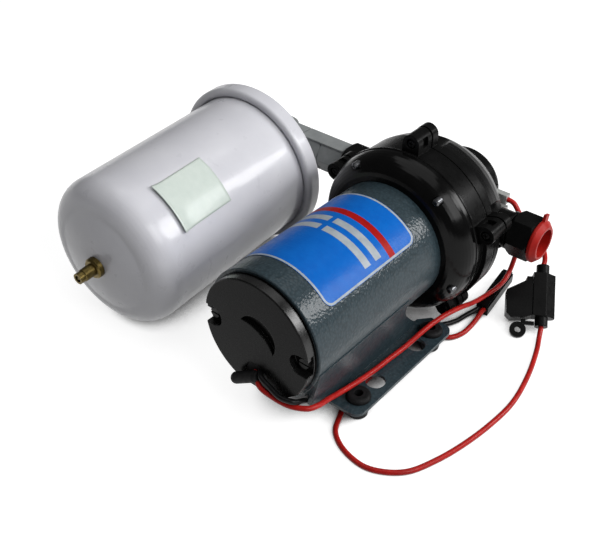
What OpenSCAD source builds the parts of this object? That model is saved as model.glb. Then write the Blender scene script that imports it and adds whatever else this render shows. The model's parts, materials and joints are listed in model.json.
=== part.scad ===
// Caravan water pump: a 12 V wobble-plate diaphragm pump on four rubber feet,
// with a small steel pressure tank piped to its outlet and a fused lead.
// Millimetres, +Z up. The origin is on the floor at the centre of the four feet.
// X runs across the pump, Y along the motor axis from the motor to the pump head.

/* [Motor] */
// Outside diameter of the motor can
can_d = 76; // [74:0.5:78]
// Length of the motor can
can_len = 109; // [104:1:114]
// Wall of the motor can
can_wall = 2; // [1.6:0.2:2.4]
// How far the rear end cap stands out of the can
cap_depth = 6.8; // [6:0.2:7.4]
// Diameter of the motor shaft
shaft_d = 8; // [7:0.5:8]

/* [Base] */
// Height of the motor axis above the floor
axis_h = 60.2; // [60.2:0.2:62]
// Distance between the feet across the pump
feet_x = 77; // [76:0.5:79]
// Distance between the feet along the pump
feet_y = 72; // [70:0.5:74]
// Diameter of the screw hole through each foot
foot_hole_d = 5.2; // [4.2:0.2:6]
// Thickness of the bracket's sheet
sheet = 2; // [1.6:0.2:2.4]
// Distance between the large holes along one flange
slot_pitch = 40; // [36:1:42]
// Diameter of the large holes in the flanges
slot_d = 11.5; // [9:0.5:12]

/* [Pump head] */
// Rim radius of the drive housing
rim_r = 52.2; // [51.6:0.2:53]
// Length of the drive housing along the motor axis
bell_len = 17; // [16.6:0.2:18]
// Length of the valve ring
ring_len = 15; // [14.6:0.2:16]
// Radius of the circle that the ear screws sit on
ear_pcr = 57; // [56.4:0.2:58]
// Radius of one ear
ear_r = 5.6; // [5.2:0.2:6]
// Tilt of the wobble plate's bearing
wobble_tilt = 4; // [2:0.5:4.5]
// Radius of the circle that the piston centres sit on
piston_pcr = 26; // [25:0.5:26.5]

/* [Ports] */
// Height of the port axis above the motor axis
port_rise = 2.5; // [1:0.5:3]
// Distance from the motor axis to the end of a port's thread
port_reach = 64; // [62:0.5:66]
// Across-flats size of the black port nuts
nut_af = 24.5; // [24:0.5:26]
// Across-flats size of the grey union
union_af = 20.5; // [18:0.5:22]

/* [Pressure tank] */
// Radius of the tank body
tank_r = 48.8; // [46:0.2:49]
// How far the crimped rim stands out of the tank body
rim_out = 6.1; // [5.6:0.1:7]
// Distance from the tank's seam to the rear of the crimped rim
tank_rim_w = 14.3; // [13.6:0.1:15]
// Length of the tank's straight wall
tank_len = 112.6; // [100:0.2:116]
// Corner radius of the domed end
tank_corner = 15.7; // [12:0.1:20]
// Height of the dome's crown
tank_crown = 5; // [3:0.5:7]

/* [Leads] */
// Diameter of one insulated wire
wire_d = 3.2; // [2.6:0.2:3.4]

/* [Hidden] */

$fn = 72;

// Clearances
running = 0.05;
close_fit = 0.1;

// Stations along the motor axis
can_r = can_d / 2;
can_y1 = 39;
can_y0 = can_y1 - can_len;
can_in = can_r - can_wall;
cap_y = can_y0 - cap_depth;
bell_y1 = can_y1 + bell_len;
seat_y = bell_y1 - 0.5;
ring_y1 = bell_y1 + ring_len - 0.6;
gasket_t = 1;
cover_y0 = ring_y1 + gasket_t;
port_y = cover_y0 + 21.6;
cover_y1 = cover_y0 + 33.6;
switch_y1 = cover_y1 + 26;
shaft_r = shaft_d / 2;
shaft_y1 = bell_y1 - 2.5;
bearing_r = 11;
bearing_w = 7;
rear_bearing_y = can_y0 - 1.5;
front_bearing_y = can_y1 - 7.5;

// Rotor
core_r = 27;
core_y0 = can_y0 + 32;
core_y1 = can_y1 - 21;
commutator_r = 11;
commutator_y0 = can_y0 + 9.5;
commutator_y1 = core_y0 - 10.5;
bolt_x = 31;
// Centre of the wire notch's round top, from the motor axis
arch_z = -24.5;

// Base bracket
flange_z = 12.6;
wall_x = 28;
wall_y0 = can_y0 + 1;
wall_y1 = can_y1 - 2;
wall_top_y = 10;
flange_x1 = feet_x / 2 + 9.7;
flange_y0 = -feet_y / 2 - 12.9;
flange_y1 = feet_y / 2 + 10.6;
foot_r = 5.8;
button_r = 7.2;
tangent_a = -13;
wall_lip = 0.6;
cradle_a = -30;

// Head
ear_count = 5;
ear_step = 360 / ear_count;
first_ear = 18;
first_pocket = 52;
pocket_pcr = 48;
pocket_y = can_y1 + 6;
ear_y0 = bell_y1 + 1.2;
web_r = rim_r + 2.1;
web_turn = 60;
web_starts = [-48, 168];
cavity_r = 41;
wobble_y = can_y1 + 10;
ring_r = rim_r - 0.8;
cover_r = rim_r - 1;
chamber_r = 10.2;
chamber_y1 = bell_y1 + 9;
plate_y0 = ring_y1 - 4;
gallery_y1 = cover_y0 + 12.6;
port_z = axis_h + port_rise;
stub_r = 10.4;
port_bore = 6.5;
nut_x0 = port_reach - 9;
nut_x1 = port_reach + 5.5;
neck_r = 10.8;
// The spade terminals stand out of the switch, behind the nut
sleeve_y0 = port_y + 20;
terminal_z = [port_rise - 4.7, port_rise + 4.3];

tank_rim_r = tank_r + rim_out;
rim_y0 = 2.5;
// Tank pose: the seam's plane, turned a little about Z and tipped a little about X
tank_pos = [-128.4, 51.7, tank_rim_r + 0.4];
tank_tip = 1.77;
tank_yaw = 2.89;
shell_wall = 1.2;
manifold_x = -130.6;

// Lead connector and fuse holder poses
connector_pos = [46.8, 83.2, 0.2];
connector_yaw = 7.6;
connector_len = 42;
fuse_pos = [84.5, 90, 5.4];
fuse_tip = 34.3;
fuse_yaw = 32;
fuse_len = 40;

// Wire routes, from the motor or the switch outwards
red_z = axis_h - 23;
black_z = axis_h - 21;
red_route = [
    [-1.6, cap_y + 2.5, red_z], [2.2, cap_y - 1.8, red_z - 0.8], [6.2, -80.8, 33.6], [14.5, -80, 30.6], [24, -77.4, 28.2],
    [32.6, -72.8, 28.2], [34.4, -66, 26.6], [33.6, -58, 23.8], [33.2, -46.8, 20.2], [33.9, -32, 17.5],
    [34.3, -17.8, 15.4], [35.4, -2.8, 15.4], [36.5, 12.7, 15.4], [38, 26.8, 17.8], [38.8, 36, 18.3],
    [40.5, 48, 18.5], [42.5, 62, 16.5], [44, 75, 13], [44.4, 90, 9.5], [45.8, 100, 9.5], [45.6, 112, 9.6],
    [44.6, 120, 12.4], [45, 123, 21], [46.3, 122.4, 32], [47.2, 121, 43], [47.4, 119.3, 50],
    [45.6, 117.4, 55.6], [42, 115.7, 57.9], [36, 115.2, 58]
];
black_route = [
    [1.8, cap_y + 2.5, black_z], [6, cap_y - 2.6, black_z + 0.2], [12.4, -79.8, 36.4], [19.5, -79.6, 33.2],
    [26.4, -76.6, 32], [27.4, -70.2, 28.6], [24, -61, 20], [14, -48, 9], [2, -30, 3], [-4, -6, 2],
    [2, 22, 2], [16, 42, 2], [33.5, 55, 2], [39.3, 64.4, 2.2], [41.8, 73.3, 3], [44.3, 80, 4.2],
    [44.6, 83.1, 4.2]
];
switch_route = [
    [36, 115.2, 67], [41.6, 115.1, 66], [47.4, 115, 59.4], [53.2, 117.2, 51.4], [59.6, 120.4, 42.6],
    [64.2, 122, 35.6], [66.4, 120.6, 30.6], [67.2, 117.9, 27.9]
];
fuse_route = [
    [84.6, 89.9, 5.4], [87, 84, 2.8], [91, 74, 1.8], [98, 50, 1.8], [102, 25, 1.8],
    [101, 3, 1.8], [97.5, -19, 1.8], [92.5, -37.5, 1.8], [85.5, -53.5, 1.8], [77, -61.5, 1.8],
    [66.5, -66, 1.8], [56, -65.5, 1.8], [46, -62, 1.8], [38.4, -56, 1.8], [34.2, -47.4, 1.8],
    [31, -39, 1.8], [28.2, -22, 1.8], [27.8, 18, 1.8], [29.2, 37, 1.8], [35, 46, 1.8], [44.6, 49.4, 1.8],
    [48.4, 57, 1.8], [49, 66, 1.9], [48.6, 75.6, 3.2], [48, 80.6, 4.2], [47.9, 83.5, 4.2]
];

function arc(cx, cy, r, a0, a1, n = 8) =
    [for (i = [0 : n]) let (a = a0 + (a1 - a0) * i / n) [cx + r * cos(a), cy + r * sin(a)]];
function unit(v) = v / norm(v);

module at_axis() { translate([0, 0, axis_h]) children(); }
module at_ports() { translate([0, port_y, port_z]) children(); }
module at_tank() { translate(tank_pos) rotate([tank_tip, 0, tank_yaw]) children(); }
module at_fuse() { translate(fuse_pos) rotate([fuse_tip, 0, fuse_yaw]) children(); }
module at_connector() { translate(connector_pos) rotate([0, 0, connector_yaw]) children(); }
// A flat outline in X and Z, drawn out along Y
module span_y(y0, y1) {
    translate([0, y1, 0]) rotate([90, 0, 0]) linear_extrude(y1 - y0) children();
}
// A profile of [radius, y] points turned about the Y axis
module spin_y(points, turn = 360) {
    rotate([90, 0, 0]) rotate_extrude(angle = turn, $fn = 96)
        polygon([for (p = points) [p[0], -p[1]]]);
}
// A profile of [radius, x] points turned about the X axis
module spin_x(points) { rotate([0, 90, 0]) rotate_extrude($fn = 96) polygon(points); }
module rod_y(r, y0, y1) { translate([0, y0, 0]) rotate([-90, 0, 0]) cylinder(r = r, h = y1 - y0); }
module rod_x(r, x0, x1) { translate([x0, 0, 0]) rotate([0, 90, 0]) cylinder(r = r, h = x1 - x0); }
module tube_y(r_in, r_out, y0, y1) {
    spin_y([[r_in, y0], [r_out, y0], [r_out, y1], [r_in, y1]]);
}
// Copies spaced round the Y axis, turned from +X towards +Z
module around(count, radius, first) {
    for (k = [0 : count - 1]) rotate([0, -first - k * 360 / count, 0])
        translate([radius, 0, 0]) children();
}
module both_sides() {
    children();
    mirror([1, 0, 0]) children();
}
// Flat outline of the five screw ears
module ear_outline(r, inner) {
    for (k = [0 : ear_count - 1]) rotate(first_ear + k * ear_step) {
        translate([ear_pcr, 0]) circle(r = r);
        translate([inner, -r]) square([ear_pcr - inner, 2 * r]);
    }
}
// One closed tube swept along the points with an eight-sided section
module swept_tube(points, d, sides = 8) {
    n = len(points);
    rings = [for (i = [0 : n - 1]) let (
        t = unit(points[min(i + 1, n - 1)] - points[max(i - 1, 0)]),
        side = unit(cross(abs(t[2]) > 0.9 ? [1, 0.2, 0] : [0, 0, 1], t)),
        up = cross(t, side))
        for (k = [0 : sides - 1]) points[i] + d / 2 * (cos(k * 360 / sides + 22.5) * side
                                                       + sin(k * 360 / sides + 22.5) * up)];
    walls = [for (i = [0 : n - 2], k = [0 : sides - 1]) let (a = i * sides, b = (k + 1) % sides)
        [a + k, a + sides + k, a + sides + b, a + b]];
    ends = [[for (k = [0 : sides - 1]) k], [for (k = [sides - 1 : -1 : 0]) (n - 1) * sides + k]];
    polyhedron(points = rings, faces = concat(walls, ends));
}

// Motor

module motor_can() color([0.20, 0.25, 0.29]) at_axis() difference() {
    spin_y([[can_in, can_y0], [can_r - 0.5, can_y0], [can_r, can_y0 + 0.5], [can_r, can_y1],
            [bearing_r + running, can_y1], [bearing_r + running, front_bearing_y],
            [bearing_r + 2.5, front_bearing_y], [bearing_r + 2.5, can_y1 - 3],
            [can_in, can_y1 - 3]]);
    for (s = [-1, 1]) translate([s * bolt_x, 0, 0]) rod_y(2 + close_fit, can_y1 - 4, can_y1 + 1);
}

// Rear end cap with two brush notches, a wire notch and a crescent vent
module motor_end_cap() color([0.10, 0.10, 0.11]) at_axis() {
    rim = can_r - 2.1;
    difference() {
        spin_y([[0, cap_y], [rim - 0.6, cap_y], [rim, cap_y + 0.6], [rim, can_y0 - 1.2],
                [rim - 1.6, can_y0 - 1.2], [rim - 1.6, can_y0], [can_in - close_fit, can_y0],
                [can_in - close_fit, can_y0 + 5],
                [can_in - 2.2, can_y0 + 5], [can_in - 2.2, can_y0 + 2], [14, can_y0 + 2],
                [14, can_y0 + 5.5], [bearing_r + running, can_y0 + 5.5],
                [bearing_r + running, rear_bearing_y], [0, rear_bearing_y]]);
        for (s = [-1, 1]) {
            translate([s * 30, 0, 0]) rod_y(6.4, cap_y - 1, cap_y + 4.8);
            translate([s > 0 ? 30 : -44, cap_y - 1, -6.4]) cube([14, 5.8, 12.8]);
            translate([s * bolt_x, 0, 0]) rod_y(2 + close_fit, cap_y, can_y0 + 6);
        }
        translate([-7.5, cap_y - 1, -40]) cube([15, cap_depth + 8.5, 40 + arch_z]);
        translate([0, 0, arch_z]) rod_y(7.5, cap_y - 1, can_y0 + 7.5);
        intersection() {
            translate([1.4, 0, 2.5]) rod_y(12.7, cap_y - 1, cap_y + 2.6);
            difference() {
                translate([-25, cap_y - 1, -25]) cube([50, 3.6, 50]);
                translate([-7.6, 0, -12.6]) rod_y(21.6, cap_y - 2, cap_y + 4);
            }
        }
    }
    // Short tongue that hangs into each notch
    for (s = [-1, 1]) translate([s > 0 ? 32 : -34.8, cap_y + 1.2, 3.4]) cube([2.8, 2.6, 4]);
}

// Two long bolts that hold the end cap to the can
module through_bolts() color([0.72, 0.73, 0.74]) at_axis() for (s = [-1, 1])
    translate([s * bolt_x, 0, 0]) {
        difference() {
            rod_y(3, cap_y + 2.4, cap_y + 4.8);
            translate([-4, cap_y + 1.4, -0.5]) cube([8, 1.8, 1]);
        }
        rod_y(2, cap_y + 4.7, can_y1 - 0.5);
    }

module magnets() color([0.24, 0.23, 0.23]) at_axis() for (a = [30, 210]) rotate([0, -a, 0])
    spin_y([[core_r + 1, core_y0 - 2], [can_in - running, core_y0 - 2],
            [can_in - running, core_y1 + 3], [core_r + 1, core_y1 + 3]], 120);

// Round card with two brush boxes
module brush_card() color([0.45, 0.30, 0.16]) at_axis() difference() {
    union() {
        tube_y(14, can_in - 0.3, can_y0 + 5.6, can_y0 + 7.6);
        for (s = [-1, 1]) translate([s > 0 ? 14 : -26, can_y0 + 7.5, -5.5]) cube([12, 11, 11]);
    }
    for (s = [-1, 1]) {
        translate([s > 0 ? 10 : -24, can_y0 + 9.4, -3.6]) cube([14, 7.2, 7.2]);
        translate([s * bolt_x, 0, 0]) rod_y(2 + close_fit, can_y0 + 5, can_y0 + 8);
    }
}

module brushes() color([0.16, 0.16, 0.17]) at_axis() for (s = [-1, 1])
    translate([s > 0 ? commutator_r + 0.3 : -24, can_y0 + 9.5, -3.5])
        cube([24 - commutator_r - 0.3, 7, 7]);

module ball_bearing(y0) color([0.75, 0.76, 0.78]) at_axis() {
    tube_y(shaft_r + running, 6, y0, y0 + bearing_w);
    tube_y(9, bearing_r, y0, y0 + bearing_w);
    tube_y(5.9, 9.1, y0 + 1, y0 + bearing_w - 1);
}
module rear_bearing() ball_bearing(rear_bearing_y);
module front_bearing() ball_bearing(front_bearing_y);

module motor_shaft() color([0.78, 0.79, 0.80]) at_axis()
    spin_y([[0, rear_bearing_y + 0.6], [shaft_r - 0.6, rear_bearing_y + 0.6],
            [shaft_r, rear_bearing_y + 1.2], [shaft_r, shaft_y1 - 0.6],
            [shaft_r - 0.6, shaft_y1], [0, shaft_y1]]);

// Slotted core of the armature
module armature_core() color([0.42, 0.43, 0.45]) at_axis() difference() {
    tube_y(shaft_r + running, core_r, core_y0, core_y1);
    around(12, core_r - 6, 0) translate([0, core_y0 - 1, -1.2]) cube([7, core_y1 - core_y0 + 2, 2.4]);
    around(12, core_r - 6.5, 0) rod_y(3, core_y0 - 1, core_y1 + 1);
}

// Wire in the slots and the bunched turns at both ends of the core
module armature_windings() color([0.66, 0.34, 0.18]) at_axis() {
    for (end = [[core_y0 - 9, core_y0], [core_y1, core_y1 + 8]])
        spin_y(concat(arc(20, end[0] + 3, 3, 270, 360), arc(20, end[1] - 3, 3, 0, 90),
                      [[shaft_r + 2, end[1]], [shaft_r + 2, end[0]]]));
    around(12, core_r - 6.5, 0) rod_y(2.6, core_y0 - 0.5, core_y1 + 0.5);
}

module commutator() color([0.72, 0.45, 0.25]) at_axis() difference() {
    tube_y(shaft_r + running, commutator_r, commutator_y0, commutator_y1);
    around(12, commutator_r - 1.2, 15)
        translate([0, commutator_y0 - 1, -0.35]) cube([3, commutator_y1 - commutator_y0 + 2, 0.7]);
}

// Base

// Half of the bracket: tangent side wall and a flange with rounded ends
module bracket_side() {
    tx = (can_r + wall_lip) * cos(tangent_a);
    tz = axis_h + (can_r + wall_lip) * sin(tangent_a);
    corner = 6.5;
    span_y(wall_y0, wall_y1)
        polygon([[wall_x, flange_z - sheet], [wall_x, flange_z], [tx, tz],
                 [tx - 2 * sheet, tz + 0.9], [wall_x - sheet, flange_z - sheet]]);
    translate([0, 0, flange_z - sheet]) linear_extrude(sheet)
        polygon(concat([[wall_x - sheet, flange_y0]],
                       arc(flange_x1 - corner, flange_y0 + corner, corner, -90, 0),
                       arc(flange_x1 - corner, flange_y1 - corner, corner, 0, 90),
                       [[wall_x + 4, flange_y1], [wall_x - sheet, flange_y1 - 7]]));
}

// Sheet-metal base: two sides and a cradle under the can, with the holes of the flanges
module base_bracket() color([0.20, 0.25, 0.29]) difference() {
    union() {
        both_sides() bracket_side();
        at_axis() rotate([0, 180 + cradle_a, 0])
            tube_sector(can_r - 1, can_r + sheet, wall_y0 + 0.2, wall_top_y - 0.5, 180 + 2 * cradle_a);
    }
    at_axis() rod_y(can_r + running, wall_y0 - 1, wall_y1 + 1);
    both_sides() {
        for (s = [-1, 1]) {
            translate([feet_x / 2, s * feet_y / 2, 0]) cylinder(r = 5.6, h = 30);
            translate([feet_x / 2, s * slot_pitch / 2, 0]) cylinder(d = slot_d, h = 30);
        }
        // Front lower corner of the wall, cut back to the flange
        rotate([0, 90, 0]) linear_extrude(60)
            polygon([[0, wall_y0 - 2], [-28, wall_y0 - 2], [-flange_z, flange_y0], [0, flange_y0]]);
        // Rear edge of the wall, sloping down from the can to the flange
        rotate([0, 90, 0]) linear_extrude(60)
            polygon([[-70, wall_top_y], [-45, wall_top_y], [-40, wall_top_y + 1.5], [-35, wall_top_y + 5],
                     [-29, wall_top_y + 10.5], [-22.6, wall_top_y + 16.6], [-17, wall_top_y + 22],
                     [-flange_z, wall_top_y + 26.6], [-flange_z, wall_y1 + 2], [-70, wall_y1 + 2]]);
    }
}

module rubber_feet() color([0.07, 0.07, 0.075]) for (x = [-1, 1], y = [-1, 1])
    translate([x * feet_x / 2, y * feet_y / 2, 0]) rotate_extrude($fn = 72)
        polygon(concat([[foot_hole_d / 2, 0], [foot_r - 0.6, 0], [foot_r, 0.6],
                        [foot_r + 1.4, flange_z - sheet], [5.5, flange_z - sheet], [5.5, flange_z],
                        [button_r, flange_z], [button_r, flange_z + 0.8]],
                       arc(button_r - 2.2, flange_z + 0.8, 2.2, 0, 90, 5),
                       [[foot_hole_d / 2, flange_z + 3]]));

// Wrapped label on the upper right of the can
label_a0 = 36.5;
label_a1 = 176;
label_y0 = can_y0 + 15;
label_y1 = can_y1 - 17;
module motor_label() color([0.10, 0.40, 0.80]) at_axis() rotate([0, -label_a0, 0])
    tube_sector(can_r + 0.02, can_r + 0.22, label_y0, label_y1, label_a1 - label_a0);
module tube_sector(r0, r1, y0, y1, turn) {
    spin_y([[r0, y0], [r1, y0], [r1, y1], [r0, y1]], turn);
}

// Pump head

function bell_r(y) = can_r + 0.6 + (rim_r - can_r - 0.6)
                     * sqrt(max(0, 1 - pow((bell_y1 - 1.5 - y) / (bell_len - 1.5), 2)));

module drive_housing() color([0.09, 0.09, 0.095]) at_axis() difference() {
    spin_y(concat([[12, can_y1], [can_r + 0.6, can_y1]],
                  [for (i = [1 : 10]) let (y = can_y1 + (bell_len - 1.5) * pow(i / 10, 1.7))
                      [bell_r(y), y]],
                  [[rim_r + 0.5, bell_y1 - 1.5], [rim_r + 0.5, seat_y], [cavity_r, seat_y],
                   [cavity_r, can_y1 + 6], [cavity_r - 3, can_y1 + 3], [12, can_y1 + 3]]));
    around(ear_count, pocket_pcr, first_pocket) {
        rod_y(2.6, can_y1 - 2, pocket_y);
        rod_y(1.5 + close_fit, can_y1, bell_y1 + 1);
    }
}

module pan_screw(r, head_r, y0, y1, head_h) {
    difference() {
        spin_y([[0, y0 - head_h], [head_r - 0.8, y0 - head_h], [head_r, y0 - head_h + 0.9],
                [head_r, y0], [r, y0], [r, y1], [0, y1]]);
        translate([-head_r * 0.6, y0 - head_h - 1, -0.4]) cube([head_r * 1.2, 2, 0.8]);
        translate([-0.4, y0 - head_h - 1, -head_r * 0.6]) cube([0.8, 2, head_r * 1.2]);
    }
}
module housing_screws() color([0.70, 0.71, 0.72]) at_axis()
    around(ear_count, pocket_pcr, first_pocket) pan_screw(1.5, 2.2, pocket_y, bell_y1 + 5, 4.8);

module head_screws() color([0.68, 0.69, 0.70]) at_axis()
    around(ear_count, ear_pcr, first_ear) pan_screw(2, 2.7, ear_y0 + 2, cover_y0 + 4.2, 1.6);

module tilted() { translate([0, wobble_y, 0]) rotate([wobble_tilt, 0, 0]) children(); }

// Hub on the shaft with a journal set at the wobble angle
module eccentric_hub() color([0.60, 0.61, 0.63]) at_axis() difference() {
    union() {
        rod_y(9.6, can_y1 + 1.4, can_y1 + 5);
        tilted() rod_y(8.5, -5.6, 3.6);
    }
    rod_y(shaft_r + running, can_y1, bell_y1 + 3);
}

module wobble_bearing() color([0.76, 0.77, 0.79]) at_axis() tilted() {
    tube_y(8.5 + running, 10, -3, 3);
    tube_y(11.6, 13, -3, 3);
    tube_y(9.9, 11.7, -2.2, 2.2);
}

module wobble_plate() color([0.85, 0.84, 0.80]) at_axis() tilted() difference() {
    span_y(-2, 2) {
        circle(r = 17.5);
        for (k = [0 : ear_count - 1]) rotate(first_pocket + k * ear_step) {
            translate([piston_pcr, 0]) circle(r = 8.6);
            translate([12, -5]) square([piston_pcr - 12, 10]);
        }
    }
    rod_y(13 + running, -3, 3);
}

module pistons() color([0.88, 0.87, 0.84]) at_axis() tilted()
    around(ear_count, piston_pcr, first_pocket) spin_y([[0, 2], [4, 2], [4, 10.4], [7.4, 10.4],
        [7.4, 12.4], [6.4, 13.4], [0, 13.4]]);

module diaphragm() color([0.12, 0.12, 0.12]) at_axis() difference() {
    rod_y(ring_r - 2.8, seat_y, seat_y + 1.5);
    around(ear_count, piston_pcr, first_pocket) rod_y(6.2, seat_y - 1, seat_y + 2);
    around(ear_count, pocket_pcr, first_pocket) rod_y(2, seat_y - 1, seat_y + 2);
}

// Ring with the five pumping chambers and the long screw towers
module valve_ring() color([0.08, 0.08, 0.085]) at_axis() difference() {
    union() {
        spin_y([[0, seat_y + 1.5], [ring_r - 2.6, seat_y + 1.5], [ring_r - 2.6, seat_y], [ring_r, seat_y],
                [ring_r, ring_y1], [44.2, ring_y1], [44.2, plate_y0], [0, plate_y0]]);
        span_y(ear_y0, ring_y1) ear_outline(ear_r, 49);
        for (a = web_starts) rotate([0, -a, 0])
            tube_sector(ring_r - 1, web_r, ring_y1 - 8, ring_y1, web_turn);
    }
    // Screw-head seats and the moulded pockets in the flanks of the towers
    around(ear_count, ear_pcr, first_ear) {
        rod_y(3.1, ear_y0 - 1, ear_y0 + 2);
        for (s = [-1, 1]) translate([-3, ear_y0 + 4.5, s > 0 ? ear_r - 2.4 : -ear_r - 1]) cube([6, 5, 3.4]);
    }
    around(ear_count, piston_pcr, first_pocket) {
        rod_y(chamber_r, seat_y, chamber_y1);
        translate([6, 0, 0]) rod_y(2.2, chamber_y1 - 1, plate_y0 + 1);
        translate([-8, 0, 0]) rod_y(1.8, chamber_y1 - 1, plate_y0 + 1);
    }
    around(ear_count, ear_pcr, first_ear) rod_y(2 + close_fit, bell_y1 - 2, ring_y1 + 1);
    around(ear_count, pocket_pcr, first_pocket) rod_y(1.5 + close_fit, bell_y1 - 2, bell_y1 + 6);
}

module valve_plate() color([0.80, 0.80, 0.76]) at_axis() difference() {
    rod_y(44, plate_y0, ring_y1);
    around(ear_count, piston_pcr, first_pocket) {
        translate([6, 0, 0]) rod_y(2.2, plate_y0 - 1, ring_y1 + 1);
        translate([-8, 0, 0]) rod_y(1.8, plate_y0 - 1, ring_y1 + 1);
    }
}

// Soft umbrella valves over the holes of the valve plate
module valve_flaps() color([0.10, 0.10, 0.10]) at_axis()
    around(ear_count, piston_pcr, first_pocket) for (dx = [-8, 6]) translate([dx, 0, 0])
        spin_y([[0, ring_y1], [2.6, ring_y1], [2.6, ring_y1 + 0.8], [1.4, ring_y1 + 1.8], [0, ring_y1 + 2]]);

module head_gasket() color([0.03, 0.03, 0.03]) at_axis() difference() {
    tube_y(44.6, ring_r - 0.9, ring_y1, cover_y0);
    around(ear_count, ear_pcr, first_ear) rod_y(3, ring_y1 - 1, cover_y0 + 1);
}

// Cover with the two port necks, hollowed for the inlet and outlet galleries
module head_cover() color([0.10, 0.10, 0.105]) difference() {
    union() {
        at_axis() {
            difference() {
                spin_y([[0, cover_y0], [cover_r, cover_y0], [cover_r, cover_y0 + 6.6],
                        [cover_r - 0.8, cover_y0 + 10.6], [cover_r - 2, cover_y0 + 15.6],
                        [cover_r - 4, cover_y0 + 20.6], [cover_r - 7, cover_y0 + 25.6],
                        [cover_r - 10.7, cover_y0 + 30.6], [cover_r - 15, cover_y1], [0, cover_y1]]);
                around(ear_count, ear_pcr + 0.5, first_ear) rod_y(12, cover_y0 + 5, cover_y1 + 1);
                // Room for the swivel nuts
                both_sides() translate([0, port_y, port_rise])
                    rod_x(nut_af / 2 + 3, nut_x0 - 0.6, nut_x0 + 12);
            }
            span_y(cover_y0, cover_y0 + 5.6) ear_outline(ear_r + 0.2, 44);
            for (a = web_starts) rotate([0, -a, 0])
                tube_sector(cover_r - 1, web_r, cover_y0, cover_y0 + 5.2, web_turn);
        }
        at_ports() {
            both_sides() span_y(-5, 5)
                polygon([[38, -21], [43, -18], [nut_x0 - 3, -10], [nut_x0 - 3, -4], [38, -4]]);
            both_sides() spin_x([[0, 20], [neck_r, 20], [neck_r, nut_x0 - 2.5], [neck_r + 1, nut_x0 - 2.5],
                                 [neck_r + 1, nut_x0 - 0.6], [stub_r, nut_x0 - 0.6],
                                 [stub_r, port_reach - 1], [stub_r - 1, port_reach], [0, port_reach]]);
        }
    }
    at_axis() {
        tube_y(23.5, 42, cover_y0 - 1, gallery_y1);
        rod_y(21, cover_y0 - 1, port_y + 3);
        rod_y(3, port_y + 2, cover_y1 + 1);
        around(ear_count, ear_pcr, first_ear) rod_y(2 + close_fit, cover_y0 - 1, cover_y0 + 4.4);
    }
    at_ports() {
        rod_x(port_bore, -port_reach - 1, 0);
        rod_x(port_bore, 24, port_reach + 1);
        translate([29, gallery_y1 - port_y - 1, 0]) rotate([-90, 0, 0])
            cylinder(r = 6, h = port_y - gallery_y1 + 1);
    }
}

// Ports

module hex_x(af, x0, x1) {
    translate([x0, 0, 0]) rotate([0, 90, 0]) rotate(30) cylinder(r = af / sqrt(3), h = x1 - x0, $fn = 6);
}

// Black swivel nut: chamfered hexagon with a bore that runs on the port's thread
module port_nut() color([0.06, 0.06, 0.065]) difference() {
    intersection() {
        hex_x(nut_af, nut_x0, nut_x1);
        spin_x([[0, nut_x0], [nut_af / 2 - 0.4, nut_x0], [nut_af / 2 + 2.4, nut_x0 + 2.8],
                [nut_af / 2 + 2.4, nut_x1 - 1.4], [nut_af / 2 + 0.6, nut_x1], [0, nut_x1]]);
    }
    rod_x(stub_r + running, nut_x0 - 1, nut_x1 + 1);
}
module inlet_nut() at_ports() port_nut();
module outlet_nut() at_ports() mirror([1, 0, 0]) port_nut();

// Flat seals between each port's end and what is pushed against it
module port_seals() color([0.05, 0.05, 0.05]) at_ports() both_sides()
    spin_x([[port_bore + 0.2, port_reach], [stub_r - 1, port_reach],
            [stub_r - 1, port_reach + 1], [port_bore + 0.2, port_reach + 1]]);

// Red dust plug: hollow flanged plug with a pull tab
module inlet_plug() color([0.80, 0.16, 0.12]) at_ports() {
    difference() {
        union() {
            spin_x([[0, port_reach + 1.1], [stub_r - 0.4, port_reach + 1.1],
                    [stub_r - 0.4, nut_x1 + 0.3], [12.8, nut_x1 + 0.3], [13.2, nut_x1 + 0.9],
                    [13.2, nut_x1 + 2.4], [12.4, nut_x1 + 3.2], [10.4, nut_x1 + 5.2], [0, nut_x1 + 5.2]]);
            rotate([-17, 0, 0]) translate([nut_x1 + 0.6, -2.2, 11.8]) cube([1.8, 4.4, 5.4]);
        }
        spin_x([[0, nut_x1 - 1], [8.4, nut_x1 - 1], [8.8, nut_x1 + 6], [0, nut_x1 + 6]]);
    }
}

union_x1 = manifold_x + 5;
union_x0 = -107;
// Grey hexagonal union between the outlet nut and the manifold
module outlet_union() color([0.45, 0.46, 0.46]) at_ports() difference() {
    union() {
        mirror([1, 0, 0]) spin_x([[port_bore, port_reach + 1.1], [stub_r - 0.4, port_reach + 1.1],
                                  [stub_r - 0.4, nut_x1 + 0.4], [port_bore, nut_x1 + 0.4]]);
        hex_x(union_af, union_x0, -nut_x1 - 0.4);
        spin_x([[port_bore, union_x1], [9, union_x1], [9, union_x0 + 1], [port_bore, union_x0 + 1]]);
        translate([union_x0 + 1, -union_af / sqrt(3) * 0.5 - 0.8, union_af / 2 - 0.8])
            cube([-union_x0 - nut_x1 - 2, 1.8, 1.4]);
    }
    rod_x(port_bore, -140, -port_reach);
    intersection() {
        translate([-89.4, -20, -20]) cube([0.8, 20, 30]);
        difference() {
            rod_x(20, -91, -88);
            rod_x(union_af / 2 - 0.1, -92, -87);
        }
    }
}

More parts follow.
